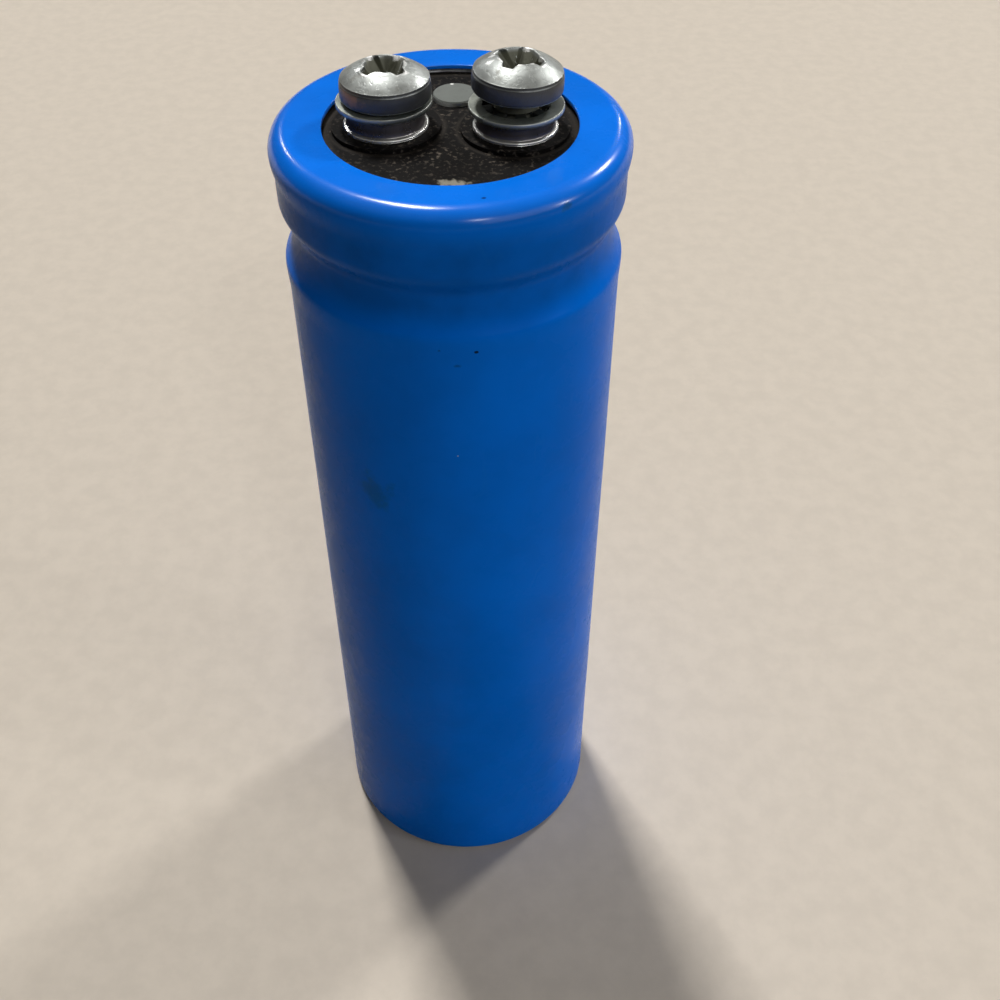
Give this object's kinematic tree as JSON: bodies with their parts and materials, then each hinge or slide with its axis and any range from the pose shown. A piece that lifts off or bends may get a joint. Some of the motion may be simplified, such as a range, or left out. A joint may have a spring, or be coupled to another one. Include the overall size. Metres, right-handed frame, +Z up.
{
  "type": "electrolytic capacitor",
  "caption": "Round can capacitor in a blue shrink sleeve, with a moulded deck, screw terminals and a vent plug under a curled rim; it stores charge in a power supply.",
  "frame": {"origin": "centre of the base, on the surface that the part stands on", "axes": "+Z up the can's axis; +X from the negative terminal to the positive one; the vent plug is on the +Y side"},
  "size_m": [0.036, 0.036, 0.1118],
  "materials": {
    "sleeve_film": "glossy blue shrink film, a little uneven",
    "can_metal": "drawn, bare",
    "deck_moulding": "black phenolic moulding, dusty",
    "black_rubber": "matt",
    "grey_rubber": "matt, aged",
    "post_metal": "turned",
    "screw_steel": "zinc plated, a little dulled",
    "washer_steel": "zinc plated",
    "foil_metal": "rolled foil",
    "paper": "kraft paper",
    "roll": "foil and paper, soaked",
    "pitch": "cast pitch"
  },
  "bodies": {
    "root": {"sleeve": "sleeve_film", "can": "can_metal", "deck": "deck_moulding", "deck_gasket": "black_rubber", "vent_plug": "grey_rubber", "terminal_positive": "post_metal", "terminal_negative": "post_metal", "screw_positive": "screw_steel", "screw_negative": "screw_steel", "lock_washer_positive": "washer_steel", "lock_washer_negative": "washer_steel", "tab_washer_positive": "foil_metal", "tab_washer_negative": "foil_metal", "anode_tab": "foil_metal", "cathode_tab": "foil_metal", "top_insulator": "paper", "winding": "roll", "winding_wrap": "paper", "anchor": "pitch", "bottom_insulator": "paper"}
  },
  "joints": []
}
